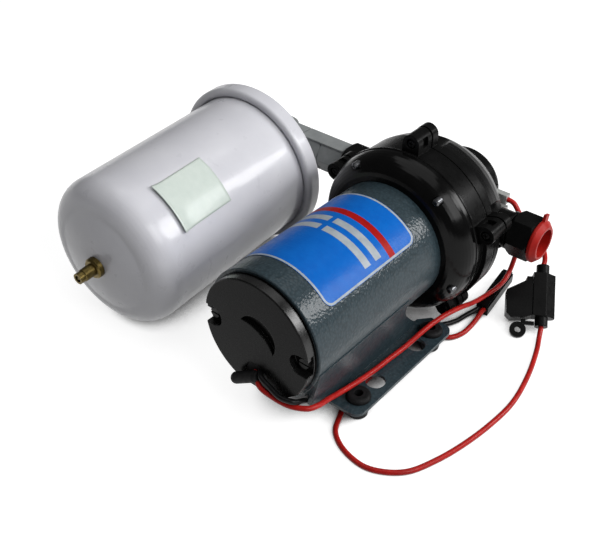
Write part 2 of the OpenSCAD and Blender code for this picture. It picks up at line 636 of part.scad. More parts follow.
// Grey block that joins the union, the tank's stub and the hose tail
module tank_manifold() color([0.42, 0.43, 0.43]) difference() {
    union() {
        translate([manifold_x, port_y, port_z - 22]) cylinder(r = 13, h = 30.5);
        at_ports() hex_x(union_af, manifold_x, union_x0 - 1);
        at_ports() spin_x([[0, manifold_x - 36], [6.6, manifold_x - 36], [8, manifold_x - 30],
                           [7.4, manifold_x - 30], [8, manifold_x - 24], [7.4, manifold_x - 24],
                           [8, manifold_x - 18], [8, manifold_x - 10], [0, manifold_x - 10]]);
        at_tank() rod_y(13, 22, 38);
    }
    at_ports() {
        rod_x(9 + running, manifold_x + 3, union_x0);
        rod_x(4.5, manifold_x - 40, manifold_x + 5);
    }
    at_tank() {
        rod_y(stub_r + running, 21, 30.7);
        rod_y(5, 29, 42);
    }
    translate([manifold_x, port_y, port_z - 14]) cylinder(r = 5, h = 16);
}

// Pressure switch on the end of the cover

module switch_housing() color([0.11, 0.11, 0.115]) at_axis() difference() {
    union() {
        spin_y(concat([[0, cover_y1], [33.4, cover_y1], [33.4, cover_y1 + 3], [24, cover_y1 + 4.5],
                       [24, switch_y1 - 4]], arc(20, switch_y1 - 4, 4, 0, 90, 6), [[0, switch_y1]]));
        rod_y(9, switch_y1 - 1, switch_y1 + 5);
        translate([19, sleeve_y0 - 2, terminal_z[0] - 5]) cube([8.5, 8.4, 19]);
    }
    rod_y(6, cover_y1 - 1, switch_y1 + 2.4);
    rod_y(3 + running, switch_y1 + 2, switch_y1 + 6);
    for (z = terminal_z) translate([17, sleeve_y0 + 1.75, z - 2.65]) cube([12, 0.9, 5.3]);
}

module switch_plunger() color([0.82, 0.82, 0.78]) at_axis()
    spin_y([[0, cover_y1 + 0.3], [5.6, cover_y1 + 0.3], [5.6, cover_y1 + 3], [2, cover_y1 + 3],
            [2, cover_y1 + 5.6], [0, cover_y1 + 5.6]]);

spring_y0 = cover_y1 + 5;
spring_y1 = switch_y1 + 2;
module switch_spring() color([0.70, 0.71, 0.73]) at_axis()
    swept_tube([for (i = [0 : 48]) let (a = i * 360 / 12)
        [3.9 * cos(a), spring_y0 + 0.5 + (spring_y1 - spring_y0 - 1) * i / 48, 3.9 * sin(a)]], 0.9);

module pressure_adjuster() color([0.66, 0.67, 0.68]) at_axis() difference() {
    spin_y([[0, switch_y1 + 2.5], [3, switch_y1 + 2.5], [3, switch_y1 + 6.4],
            [2.5, switch_y1 + 7], [0, switch_y1 + 7]]);
    translate([0, switch_y1 + 4.4, 0]) rotate([-90, 0, 0]) cylinder(r = 1.5, h = 4, $fn = 6);
}

module switch_terminals() color([0.80, 0.78, 0.66]) at_axis()
    for (z = terminal_z) translate([18, sleeve_y0 + 1.8, z - 2.6]) cube([17, 0.8, 5.2]);

// Clear push-on sleeves on the two terminals
module terminal_sleeves() color([0.86, 0.87, 0.86]) at_axis()
    for (z = terminal_z) difference() {
        translate([27.8, sleeve_y0, z - 3.2]) cube([9.4, 4.4, 6.4]);
        translate([27, sleeve_y0 + 1.7, z - 2.75]) cube([8.2, 1, 5.5]);
    }

// Leads

// Rubber plug in the wire notch, with a soft boot that hangs to the left below it
boot_r = 3.4;
boot_len = 14.6;
module wire_grommet() color([0.05, 0.05, 0.055]) at_axis() {
    translate([-7.2, cap_y + 0.6, -34.4]) cube([14.4, 5.6, 34.4 + arch_z]);
    translate([0, 0, arch_z]) rod_y(7.2, cap_y + 0.6, cap_y + 6.2);
    translate([1, cap_y - 2.8, -23.4]) rotate([0, 120.8, 187]) rotate_extrude($fn = 48)
        polygon(concat([[0, -3.2], [2.4, -3.2], [boot_r, -1]],
                       arc(boot_r - 3.2, boot_len - 1.2, 3.2, 0, 90, 6), [[0, boot_len + 2]]));
}
module motor_red_lead() color([0.72, 0.10, 0.10]) swept_tube(red_route, wire_d);
module motor_black_lead() color([0.05, 0.05, 0.05]) swept_tube(black_route, wire_d);
module switch_lead() color([0.72, 0.10, 0.10]) swept_tube(switch_route, wire_d);
module fuse_lead() color([0.72, 0.10, 0.10]) swept_tube(fuse_route, wire_d);

// Black connector on the floor; the red lead lies along its top
module lead_connector() color([0.06, 0.06, 0.06]) at_connector() span_y(0, connector_len) {
    translate([-4, 0]) square([8, 6.2]);
    translate([-3.2, 6]) square([6.4, 1.6]);
}

fuse_mid = 17;
fuse_pitch = 8;
// Black holder of a flat blade fuse, with a cylinder at each end for the wires
module fuse_body() color([0.06, 0.06, 0.065]) at_fuse() difference() {
    union() {
        span_y(6, fuse_len - 6) polygon([[-6, -5], [6, -5], [8, -3], [8, 0], [2, 5], [-6, 5]]);
        rod_y(4, 0, 7);
        rod_y(4, fuse_len - 7, fuse_len);
        translate([-9, fuse_mid - 8, -3.4]) cube([4, 16, 6.8]);
    }
    for (s = [-1, 1]) translate([-10, fuse_mid + s * fuse_pitch / 2 - 1.5, -1]) cube([10, 3, 2]);
}

// Wing-shaped cover over the fuse
module fuse_cap() color([0.05, 0.05, 0.055]) at_fuse() difference() {
    translate([0, 0, -4.6]) linear_extrude(9.2)
        polygon([[-6.2, 6], [-6.2, 31], [-10, 31], [-10, 28.6], [-22, 21.5], [-22, 6.5], [-19, 3.5], [-10, 4.6]]);
    translate([0, 0, -3.6]) linear_extrude(7.2)
        polygon([[-5, fuse_mid - 8.4], [-5, fuse_mid + 8.4], [-12, fuse_mid + 8.4], [-18, fuse_mid + 5],
                 [-18, fuse_mid - 8.4]]);
}

module blade_fuse() color([0.75, 0.20, 0.10]) at_fuse() {
    translate([-15.6, fuse_mid - 6, -2]) cube([6.4, 12, 4]);
    for (s = [-1, 1]) translate([-9.3, fuse_mid + s * fuse_pitch / 2 - 1.4, -0.7]) cube([8.8, 2.8, 1.4]);
}

// Loop of soft strap that ties the cover to the holder
module fuse_tether() color([0.05, 0.05, 0.05]) at_fuse() translate([0, 0, -0.5]) linear_extrude(2) {
    difference() {
        translate([-14.2, -3]) circle(r = 5);
        translate([-14.2, -3]) circle(r = 1.9);
    }
    translate([-12.4, 1.2]) square([2.6, 2.6]);
    translate([-10.6, 0.6]) square([6.2, 2.2]);
}

// Pressure tank

function shell_profile(r, corner, end_y) = concat(
    arc(r - corner, -tank_len, corner, 0, -90, 10),
    [for (i = [1 : 8]) let (x = (r - corner) * (1 - i / 8))
        [x, end_y - tank_crown * (1 - pow(x / (r - corner), 2))]]);

module tank_shell() color([0.83, 0.84, 0.85]) at_tank() difference() {
    spin_y(concat([[0, 8.2], [tank_r + 3, 8.2], [tank_r + 3, rim_y0 + 3], [tank_r, rim_y0 + 1.5]],
                  shell_profile(tank_r, tank_corner, -tank_len - tank_corner)));
    spin_y(concat([[0, 9.2], [tank_r - shell_wall, 9.2]],
                  shell_profile(tank_r - shell_wall, tank_corner - shell_wall,
                                -tank_len - tank_corner + shell_wall)));
    rod_y(4, -tank_len - 40, -tank_len);
}

module tank_rim() color([0.82, 0.83, 0.84]) at_tank()
    spin_y(concat([[tank_r + 0.3, rim_y0 + 1.2], [tank_r + 1.6, rim_y0 + 0.2]],
                  arc(tank_rim_r - 2.4, rim_y0 + 2.4, 2.4, -90, 0, 5),
                  arc(tank_rim_r - 2.4, tank_rim_w - 2.4, 2.4, 0, 90, 5),
                  [[tank_r - 2, tank_rim_w], [tank_r - 2, 11.3], [tank_r + 3.4, 11.3],
                   [tank_r + 3.4, rim_y0 + 2.6]]));

module tank_end_plate() color([0.80, 0.81, 0.82]) at_tank()
    spin_y([[stub_r + running, 13.4], [20, 14], [34, 12.6], [tank_r - 4, 9.6], [tank_r + 3, 9.6],
            [tank_r + 3, 11.2], [tank_r - 3, 11.2], [34, 14.2], [20, 15.6], [stub_r + running, 15.6]]);

module tank_membrane() color([0.09, 0.09, 0.09]) at_tank()
    spin_y([[0, -30], [tank_r - 18.8, -26], [tank_r - 6.8, -10], [tank_r - 6, 7], [tank_r - 5, 8.3], [tank_r + 3, 8.3],
            [tank_r + 3, 9.5], [tank_r - 5.4, 9.5], [tank_r - 7.4, 7.6], [tank_r - 8.2, -9.4],
            [tank_r - 19.4, -24.6], [0, -28.6]]);

// Threaded water stub with a hexagon shoulder
module water_stub() color([0.72, 0.60, 0.32]) at_tank() difference() {
    union() {
        rod_y(stub_r, 13.4, 30.5);
        rod_y(12.6, 12, 13.4);
        translate([0, 15.6, 0]) rotate([-90, 0, 0]) cylinder(r = 14, h = 6, $fn = 6);
    }
    rod_y(5, 10, 36);
}

tank_tip_y = -tank_len - tank_corner - tank_crown;
// Brass air valve: round nut on the dome and a narrow barrel
module air_valve() color([0.66, 0.55, 0.25]) at_tank() difference() {
    spin_y([[0, tank_tip_y + 6], [3.9, tank_tip_y + 6], [3.9, tank_tip_y - 0.2], [6.6, tank_tip_y - 0.2],
            [6.6, tank_tip_y - 3.2], [5.6, tank_tip_y - 4.2], [3.9, tank_tip_y - 4.2],
            [3.9, tank_tip_y - 11], [3.5, tank_tip_y - 11.4], [3.5, tank_tip_y - 15], [0, tank_tip_y - 15]]);
    rod_y(2.2, tank_tip_y - 16, tank_tip_y + 7);
}
module valve_pin() color([0.74, 0.66, 0.40]) at_tank()
    spin_y([[0, tank_tip_y - 14.4], [0.9, tank_tip_y - 14.4], [0.9, tank_tip_y - 6], [2.1, tank_tip_y - 6],
            [2.1, tank_tip_y - 3], [0.9, tank_tip_y - 3], [0.9, tank_tip_y + 4], [0, tank_tip_y + 4]]);

module tank_sticker() color([0.90, 0.93, 0.88]) at_tank() rotate([0, -28.5, 0])
    tube_sector(tank_r + 0.03, tank_r + 0.25, -101, -60, 38);

motor_can();
motor_end_cap();
through_bolts();
magnets();
brush_card();
brushes();
rear_bearing();
front_bearing();
motor_shaft();
armature_core();
armature_windings();
commutator();
base_bracket();
rubber_feet();
motor_label();
drive_housing();
housing_screws();
eccentric_hub();
wobble_bearing();
wobble_plate();
pistons();
diaphragm();
valve_ring();
valve_plate();
valve_flaps();
head_gasket();
head_cover();
head_screws();
inlet_nut();
outlet_nut();
port_seals();
inlet_plug();
outlet_union();
tank_manifold();
switch_housing();
switch_plunger();
switch_spring();
pressure_adjuster();
switch_terminals();
terminal_sleeves();
wire_grommet();
motor_red_lead();
motor_black_lead();
switch_lead();
fuse_lead();
lead_connector();
fuse_body();
fuse_cap();
blade_fuse();
fuse_tether();
tank_shell();
tank_rim();
tank_end_plate();
tank_membrane();
water_stub();
air_valve();
valve_pin();
tank_sticker();
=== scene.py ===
"""Looks of the caravan water pump: materials, leads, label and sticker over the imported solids."""
import json
import math

import bpy
from mathutils import Matrix, Vector


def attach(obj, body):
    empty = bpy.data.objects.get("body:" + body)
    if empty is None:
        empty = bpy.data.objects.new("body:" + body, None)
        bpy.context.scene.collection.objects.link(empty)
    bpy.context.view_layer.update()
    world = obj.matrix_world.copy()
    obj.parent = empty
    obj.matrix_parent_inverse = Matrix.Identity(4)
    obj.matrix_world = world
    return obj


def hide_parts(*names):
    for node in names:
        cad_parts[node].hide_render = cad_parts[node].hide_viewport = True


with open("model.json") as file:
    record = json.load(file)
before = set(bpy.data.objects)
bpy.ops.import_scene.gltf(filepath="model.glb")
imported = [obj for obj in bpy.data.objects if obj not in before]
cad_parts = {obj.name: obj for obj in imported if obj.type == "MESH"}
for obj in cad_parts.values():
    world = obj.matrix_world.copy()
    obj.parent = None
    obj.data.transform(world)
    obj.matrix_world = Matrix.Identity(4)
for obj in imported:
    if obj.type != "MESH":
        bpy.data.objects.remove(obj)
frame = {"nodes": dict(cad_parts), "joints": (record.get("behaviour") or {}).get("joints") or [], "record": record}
nodes = frame["nodes"]
joints = {joint["name"]: joint for joint in frame["joints"]}
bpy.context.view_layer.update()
MM = 0.001

# Camera at the photograph's viewing angle

SENSOR_MM = 36
LENS_MM = 54.24
CAMERA_PLACE = (0.2430, -0.3285, 0.3723)
CAMERA_TILT = math.radians(52.81)
CAMERA_TURN = math.radians(40.15)

camera_data = bpy.data.cameras.new("camera")
camera_data.sensor_width = SENSOR_MM
camera_data.lens = LENS_MM
camera = bpy.data.objects.new("camera", camera_data)
camera.location = CAMERA_PLACE
camera.rotation_euler = (CAMERA_TILT, 0, CAMERA_TURN)
bpy.context.scene.collection.objects.link(camera)
bpy.context.scene.camera = camera
bpy.context.scene.view_settings.view_transform = "Standard"

# Node material helpers: sizes are in millimetres, and noise is used between its low and high level

NOISE_LOW = 0.3
NOISE_HIGH = 0.7


def srgb(red, green, blue):
    """Linear colour of a display colour given from 0 to 255."""
    shares = [value / 255 for value in (red, green, blue)]
    return [s / 12.92 if s <= 0.04045 else ((s + 0.055) / 1.055) ** 2.4 for s in shares] + [1]


class Surface:
    """A principled material whose colour, roughness and relief come from object-space textures.

    An edge size rounds the shading of edges and of the bands that a curved face is made of.
    """

    def __init__(self, name, edge_mm=0.0):
        self.material = bpy.data.materials.new(name)
        self.material.use_nodes = True
        self.tree = self.material.node_tree
        self.shader = self.tree.nodes["Principled BSDF"]
        self.place = self.add("ShaderNodeTexCoord").outputs["Object"]
        self.normal = None
        if edge_mm:
            rounding = self.add("ShaderNodeBevel")
            rounding.inputs["Radius"].default_value = edge_mm * MM
            self.normal = rounding.outputs["Normal"]

    def add(self, kind):
        return self.tree.nodes.new(kind)

    def link(self, start, end):
        self.tree.links.new(start, end)

    def set(self, **values):
        """Constant values on the shader's own sockets."""
        for name, value in values.items():
            self.shader.inputs[name.replace("_", " ")].default_value = value

    def texture(self, kind, size_mm):
        """A texture in object space with features of about that size."""
        texture = self.add(kind)
        texture.inputs["Scale"].default_value = 1 / (size_mm * MM)
        self.link(self.place, texture.inputs["Vector"])
        return texture

    def noise(self, size_mm, detail=2.0):
        """Noise with features of about that size."""
        texture = self.texture("ShaderNodeTexNoise", size_mm)
        texture.inputs["Detail"].default_value = detail
        return texture.outputs["Fac"]

    def cells(self, size_mm, smooth):
        """Soft cells of about that size: the distance to each cell's middle."""
        texture = self.texture("ShaderNodeTexVoronoi", size_mm)
        texture.feature = "SMOOTH_F1"
        texture.inputs["Smoothness"].default_value = smooth
        return texture.outputs["Distance"]

    def colours(self, value, *stops):
        """Base colour from a texture value through colour stops of (position, colour)."""
        ramp = self.add("ShaderNodeValToRGB")
        ramp.color_ramp.elements[0].position = stops[0][0]
        ramp.color_ramp.elements[0].color = stops[0][1]
        ramp.color_ramp.elements[1].position = stops[-1][0]
        ramp.color_ramp.elements[1].color = stops[-1][1]
        for position, colour in stops[1:-1]:
            ramp.color_ramp.elements.new(position).color = colour
        self.link(value, ramp.inputs["Fac"])
        self.link(ramp.outputs["Color"], self.shader.inputs["Base Color"])

    def two_tone(self, value, dark, light):
        """Base colour between two tones from a noise value."""
        self.colours(value, (NOISE_LOW, dark), (NOISE_HIGH, light))

    def roughness(self, value, low, high):
        """Roughness between two levels from a noise value."""
        node = self.add("ShaderNodeMapRange")
        node.inputs["From Min"].default_value = NOISE_LOW
        node.inputs["From Max"].default_value = NOISE_HIGH
        node.inputs["To Min"].default_value = low
        node.inputs["To Max"].default_value = high
        self.link(value, node.inputs["Value"])
        self.link(node.outputs["Result"], self.shader.inputs["Roughness"])

    def relief(self, value, depth_mm, strength):
        """Bump of that depth; later calls add to the earlier ones."""
        bump = self.add("ShaderNodeBump")
        bump.inputs["Distance"].default_value = depth_mm * MM
        bump.inputs["Strength"].default_value = strength
        self.link(value, bump.inputs["Height"])
        if self.normal is not None:
            self.link(self.normal, bump.inputs["Normal"])
        self.normal = bump.outputs["Normal"]
        self.link(self.normal, self.shader.inputs["Normal"])
        self.link(self.normal, self.shader.inputs["Coat Normal"])


# Materials

CAN_EDGE = 0.6
SHEET_EDGE = 0.2
MOULDED_EDGE = 0.6
TANK_EDGE = 3.0
RIM_TO_FLAT = (0.3, 0.9)


def hammertone(name, edge_mm):
    """Dark slate enamel that dried into small shiny cells."""
    s = Surface(name, edge_mm)
    cells = s.cells(1.6, smooth=0.3)
    s.colours(cells, (0.1, srgb(45, 59, 65)), (0.45, srgb(39, 52, 58)), (0.85, srgb(32, 44, 49)))
    s.roughness(s.noise(4), 0.4, 0.55)
    s.relief(cells, 0.17, 0.8)
    s.relief(s.noise(0.9, 3), 0.08, 0.7)
    s.set(Specular_IOR_Level=0.15, Coat_Weight=0.35, Coat_Roughness=0.08)
    return s.material


def moulded(name, dark, light, rough, grain_mm=0.35, depth=0.01, shine=0.4):
    """Moulded plastic with faint flow marks and a fine grain."""
    s = Surface(name, MOULDED_EDGE)
    s.two_tone(s.noise(9, 4), dark, light)
    s.roughness(s.noise(3.5, 4), *rough)
    s.relief(s.noise(grain_mm, 2), depth, 0.5)
    s.relief(s.noise(14, 1), 0.12, 0.2)
    s.set(Specular_IOR_Level=shine)
    return s.material


def polish_rim(material, flat, rim):
    """More shine on the faces that look away from the motor's axis than on the flat ones across it.

    The shine fades over the RIM_TO_FLAT range of how far a face looks along the axis.
    """
    tree = material.node_tree
    facing = tree.nodes.new("ShaderNodeTexCoord").outputs["Normal"]
    split = tree.nodes.new("ShaderNodeSeparateXYZ")
    tree.links.new(facing, split.inputs[0])
    along = tree.nodes.new("ShaderNodeMath")
    along.operation = "ABSOLUTE"
    tree.links.new(split.outputs["Y"], along.inputs[0])
    shine = tree.nodes.new("ShaderNodeMapRange")
    shine.inputs["From Min"].default_value = RIM_TO_FLAT[0]
    shine.inputs["From Max"].default_value = RIM_TO_FLAT[1]
    shine.inputs["To Min"].default_value = rim
    shine.inputs["To Max"].default_value = flat
    tree.links.new(along.outputs[0], shine.inputs["Value"])
    tree.links.new(shine.outputs["Result"], tree.nodes["Principled BSDF"].inputs["Specular IOR Level"])
    return material


def enamel():
    """Glossy white stove enamel with a soft orange-peel surface."""
    s = Surface("tank_enamel", TANK_EDGE)
    s.two_tone(s.noise(30, 3), srgb(193, 193, 199), srgb(201, 201, 206))
    s.roughness(s.noise(8, 4), 0.26, 0.36)
    s.relief(s.noise(5, 1), 0.05, 0.15)
    s.relief(s.noise(1.1, 2), 0.01, 0.2)
    s.set(Specular_IOR_Level=0.3, Coat_Weight=0.3, Coat_Roughness=0.05)
    return s.material


def metal(name, dark, light, rough=(0.24, 0.4)):
    """Bare metal with a fine grain and dull patches."""
    s = Surface(name)
    s.two_tone(s.noise(4, 4), dark, light)
    s.roughness(s.noise(2, 4), *rough)
    s.relief(s.noise(0.5, 3), 0.02, 0.4)
    s.set(Metallic=1.0)
    return s.material


def soft_rubber():
    """Dull black rubber with a fine grain."""
    s = Surface("rubber_black", MOULDED_EDGE)
    s.colours(s.noise(3, 5), (0.3, srgb(15, 15, 16)), (0.75, srgb(27, 27, 28)))
    s.roughness(s.noise(2, 4), 0.45, 0.65)
    s.relief(s.noise(0.4, 3), 0.03, 0.5)
    s.set(Specular_IOR_Level=0.12)
    return s.material


def insulation(name, dark, light, shine):
    """Plastic insulation of a wire, slightly uneven."""
    s = Surface(name)
    s.two_tone(s.noise(6, 3), dark, light)
    s.roughness(s.noise(2.5, 3), 0.28, 0.42)
    s.relief(s.noise(2, 2), 0.04, 0.35)
    s.set(Specular_IOR_Level=shine, Coat_Weight=shine / 3, Coat_Roughness=0.15)
    return s.material


def printed(name, dark, light, coat, rough=(0.32, 0.45), shine=0.2, lumps=0.3):
    """Printed film that follows the lumps of the paint under it."""
    s = Surface(name)
    s.two_tone(s.noise(5, 4), dark, light)
    s.roughness(s.noise(3, 3), *rough)
    s.relief(s.cells(1.5, smooth=0.6), 0.05, lumps)
    s.set(Specular_IOR_Level=shine, Coat_Weight=coat, Coat_Roughness=0.15)
    return s.material


def milky():
    """Milky clear sleeve of a spade terminal."""
    s = Surface("milky_sleeve")
    s.two_tone(s.noise(6, 2), srgb(172, 174, 171), srgb(188, 190, 187))
    s.roughness(s.noise(4, 2), 0.2, 0.3)
    s.relief(s.noise(1.2, 2), 0.03, 0.3)
    s.set(Transmission_Weight=0.3, IOR=1.45)
    return s.material


def board():
    """Brown pressed board of the brush card."""
    s = Surface("pressed_board")
    s.two_tone(s.noise(1.2, 5), srgb(112, 80, 46), srgb(138, 104, 66))
    s.roughness(s.noise(2, 3), 0.6, 0.8)
    s.relief(s.noise(0.5, 4), 0.03, 0.5)
    return s.material


BLACK = (srgb(11, 11, 11), srgb(17, 17, 17))
BLACK_ROUGH = (0.24, 0.32)
BLACK_SHINE = 0.065
RIM_SHINE = 0.5
LOOKS = {
    "motor_paint": hammertone("hammertone_paint", CAN_EDGE),
    "black_plastic": moulded("black_plastic", *BLACK, BLACK_ROUGH, shine=BLACK_SHINE),
    "black_gloss": moulded("black_gloss", srgb(6, 6, 6), srgb(10, 10, 10), (0.13, 0.19), 0.5, 0.006, 0.14),
    "steel": metal("zinc_steel", srgb(92, 93, 95), srgb(124, 125, 128), (0.26, 0.42)),
    "bearing_steel": metal("bearing_steel", srgb(160, 162, 166), srgb(204, 206, 210), (0.16, 0.3)),
    "dark_steel": metal("black_zinc", srgb(30, 30, 30), srgb(44, 44, 44), (0.4, 0.55)),
    "magnet": moulded("ferrite", srgb(58, 57, 57), srgb(78, 77, 77), (0.6, 0.8), 0.6, 0.03, 0.3),
    "card": board(),
    "carbon": moulded("carbon", srgb(38, 38, 40), srgb(58, 58, 60), (0.5, 0.7), 0.6, 0.03),
    "copper": metal("copper", srgb(166, 92, 58), srgb(206, 128, 88)),
    "rubber": soft_rubber(),
    "label": printed("label_blue", srgb(4, 86, 170), srgb(7, 93, 177), 0.05, shine=0.08, lumps=1.0),
    "nylon": moulded("nylon", srgb(206, 203, 190), srgb(222, 219, 208), (0.4, 0.55)),
    "red_plastic": moulded("red_plastic", srgb(140, 20, 15), srgb(158, 28, 21), (0.36, 0.5), shine=0.14),
    "grey_plastic": moulded("grey_plastic", srgb(120, 123, 124), srgb(135, 138, 138), (0.4, 0.54), shine=0.2),
    "clear_sleeve": milky(),
    "tinned": metal("tinned_brass", srgb(176, 172, 154), srgb(208, 204, 188)),
    "red_wire": insulation("wire_red", srgb(148, 21, 18), srgb(170, 30, 25), 0.16),
    "black_wire": insulation("wire_black", srgb(11, 11, 12), srgb(19, 19, 20), 0.14),
    "tank_white": enamel(),
    "brass": metal("brass", srgb(88, 76, 42), srgb(118, 102, 60), (0.3, 0.46)),
    "fuse_amber": moulded("fuse_amber", srgb(186, 84, 30), srgb(214, 110, 48), (0.2, 0.3)),
    "sticker": printed("sticker_pale", srgb(190, 200, 193), srgb(196, 205, 198), 0.2, (0.3, 0.42)),
}

for part in frame["record"]["subparts"]:
    mesh = nodes[part["node"]].data
    mesh.materials.clear()
    mesh.materials.append(LOOKS[part["material_slot"]])

end_cap_look = polish_rim(moulded("end_cap_black", *BLACK, BLACK_ROUGH), BLACK_SHINE, RIM_SHINE)
nodes["motor_end_cap"].data.materials[0] = end_cap_look
nodes["base_bracket"].data.materials[0] = hammertone("bracket_paint", SHEET_EDGE)


# Mesh helpers

def solid_points(name):
    """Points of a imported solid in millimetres."""
    piece = nodes[name]
    return [piece.matrix_world @ vertex.co / MM for vertex in piece.data.vertices]


def extent(name, place):
    """Outer radius, angles in degrees and y range of a solid round the y axis of a placed frame."""
    back = place.inverted()
    points = [back @ point for point in solid_points(name)]
    radius = max(math.hypot(point.x, point.z) for point in points)
    angles = [math.degrees(math.atan2(point.z, point.x)) for point in points]
    lengths = [point.y for point in points]
    return radius, (min(angles), max(angles)), (min(lengths), max(lengths))


def put(name, points, faces, look):
    """A smooth mesh of points in millimetres that rides on the pump."""
    mesh = bpy.data.meshes.new(name)
    mesh.from_pydata([Vector(p) * MM for p in points], [], faces)
    mesh.polygons.foreach_set("use_smooth", [True] * len(mesh.polygons))
    mesh.materials.append(look)
    piece = bpy.data.objects.new(name, mesh)
    bpy.context.scene.collection.objects.link(piece)
    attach(piece, "pump")
    return piece


def grid_faces(columns, rows):
    """Faces of a grid of points that are listed column by column."""
    step = rows + 1
    corners = [i * step + k for i in range(columns) for k in range(rows)]
    return [(a, a + step, a + step + 1, a + 1) for a in corners]


# Leads: the routes of the solids in millimetres, drawn as one smooth curve each

WIRE = 3.2
RED_ROUTE = [
    (-1.6, -74.3, 37.2), (2.2, -78.6, 36.4), (6.2, -80.8, 33.6), (14.5, -80, 30.6), (24, -77.4, 28.2),
    (32.6, -72.8, 28.2), (34.4, -66, 26.6), (33.6, -58, 23.8), (33.2, -46.8, 20.2), (33.9, -32, 17.5),
    (34.3, -17.8, 15.4), (35.4, -2.8, 15.4), (36.5, 12.7, 15.4), (38, 26.8, 17.8), (38.8, 36, 18.3),
    (40.5, 48, 18.5), (42.5, 62, 16.5), (44, 75, 13), (44.4, 90, 9.5), (45.8, 100, 9.5),
    (45.6, 112, 9.6), (44.6, 120, 12.4), (45, 123, 21), (46.3, 122.4, 32), (47.2, 121, 43),
    (47.4, 119.3, 50), (45.6, 117.4, 55.6), (42, 115.7, 57.9), (36, 115.2, 58),
]
BLACK_ROUTE = [
    (1.8, -74.3, 39.2), (6, -79.4, 39.4), (12.4, -79.8, 36.4), (19.5, -79.6, 33.2), (26.4, -76.6, 32),
    (27.4, -70.2, 28.6), (24, -61, 20), (14, -48, 9), (2, -30, 3), (-4, -6, 2), (2, 22, 2), (16, 42, 2),
    (33.5, 55, 2), (39.3, 64.4, 2.2), (41.8, 73.3, 3), (44.3, 80, 4.2), (44.6, 83.1, 4.2),
]
SWITCH_ROUTE = [
    (36, 115.2, 67), (41.6, 115.1, 66), (47.4, 115, 59.4), (53.2, 117.2, 51.4), (59.6, 120.4, 42.6),
    (64.2, 122, 35.6), (66.4, 120.6, 30.6), (67.2, 117.9, 27.9),
]
FUSE_ROUTE = [
    (84.6, 89.9, 5.4), (87, 84, 2.8), (91, 74, 1.8), (98, 50, 1.8), (102, 25, 1.8), (101, 3, 1.8),
    (97.5, -19, 1.8), (92.5, -37.5, 1.8), (85.5, -53.5, 1.8), (77, -61.5, 1.8), (66.5, -66, 1.8),
    (56, -65.5, 1.8), (46, -62, 1.8), (38.4, -56, 1.8), (34.2, -47.4, 1.8), (31, -39, 1.8),
    (28.2, -22, 1.8), (27.8, 18, 1.8), (29.2, 37, 1.8), (35, 46, 1.8), (44.6, 49.4, 1.8),
    (48.4, 57, 1.8), (49, 66, 1.9), (48.6, 75.6, 3.2), (48, 80.6, 4.2), (47.9, 83.5, 4.2),
]


def smooth_line(points, steps=8):
    """Points along a centripetal spline through the given ones."""
    points = [Vector(p) for p in points]
    padded = [2 * points[0] - points[1]] + points + [2 * points[-1] - points[-2]]
    line = []
    for a, b, c, d in zip(padded, padded[1:], padded[2:], padded[3:]):
        knots = [0.0]
        for start, end in ((a, b), (b, c), (c, d)):
            knots.append(knots[-1] + (end - start).length ** 0.5)
        t0, t1, t2, t3 = knots
        for i in range(steps):
            t = t1 + (t2 - t1) * i / steps
            ab = a * ((t1 - t) / (t1 - t0)) + b * ((t - t0) / (t1 - t0))
            bc = b * ((t2 - t) / (t2 - t1)) + c * ((t - t1) / (t2 - t1))
            cd = c * ((t3 - t) / (t3 - t2)) + d * ((t - t2) / (t3 - t2))
            abc = ab * ((t2 - t) / (t2 - t0)) + bc * ((t - t0) / (t2 - t0))
            bcd = bc * ((t3 - t) / (t3 - t1)) + cd * ((t - t1) / (t3 - t1))
            line.append(abc * ((t2 - t) / (t2 - t1)) + bcd * ((t - t1) / (t2 - t1)))
    line.append(points[-1])
    return line


def lead(name, route, node, slot):
    """One insulated wire along a route, drawn as a round curve that replaces its hidden solid."""
    line = [p * MM for p in smooth_line(route)]
    data = bpy.data.curves.new(name, "CURVE")
    data.dimensions = "3D"
    data.bevel_depth = WIRE / 2 * MM
    data.bevel_resolution = 5
    data.use_fill_caps = True
    spline = data.splines.new("POLY")
    spline.points.add(len(line) - 1)
    for point, place in zip(spline.points, line):
        point.co = (*place, 1)
    spline.use_smooth = True
    data.materials.append(LOOKS[slot])
    piece = bpy.data.objects.new(name, data)
    bpy.context.scene.collection.objects.link(piece)
    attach(piece, "pump")
    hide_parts(node)


lead("red_motor_wire", RED_ROUTE, "motor_red_lead", "red_wire")
lead("black_motor_wire", BLACK_ROUTE, "motor_black_lead", "black_wire")
lead("red_switch_wire", SWITCH_ROUTE, "switch_lead", "red_wire")
lead("red_fuse_wire", FUSE_ROUTE, "fuse_lead", "red_wire")

# Motor label, in millimetres and degrees round the can: film, pale border, red band, blank pale boxes

LABEL_LIFT = 0.02
PRINT_LIFT = 0.03
MOTOR = Matrix.Translation(Vector(joints["motor_spin"]["pos_m"]) / MM)
label_solid_r, LABEL_A, LABEL_Y = extent("motor_label", MOTOR)
LABEL_R = label_solid_r + LABEL_LIFT
PRINT_R = LABEL_R + PRINT_LIFT
LABEL_CORNER = 5.5
BORDER_INSET = 0.2
BORDER_WIDTH = 1.25
BAND_INSET = 1.5
BAND_Y = (-1.3, 3.6)
BOX_ROWS = ((-11.2, -6.2), (-20.4, -15.4))
BOX_COLUMNS = ((44, 93.5), (98, 150))
CORNER_STEPS = 6
SIDE_STEPS = 96
PATCH_COLUMNS = 64
PALE_PRINT = printed("label_pale", srgb(138, 146, 152), srgb(156, 163, 168), 0.0)
RED_PRINT = printed("label_red", srgb(140, 14, 11), srgb(156, 20, 15), 0.0, shine=0.08)


def degrees_along(angle):
    """Distance along the label of an angle round the can."""
    return math.radians(angle - LABEL_A[0]) * LABEL_R


def on_can(along, y, radius):
    """A point on the can: distance along the label's arc, and y."""
    angle = math.radians(LABEL_A[0]) + along / LABEL_R
    return MOTOR @ Vector((radius * math.cos(angle), y, radius * math.sin(angle)))


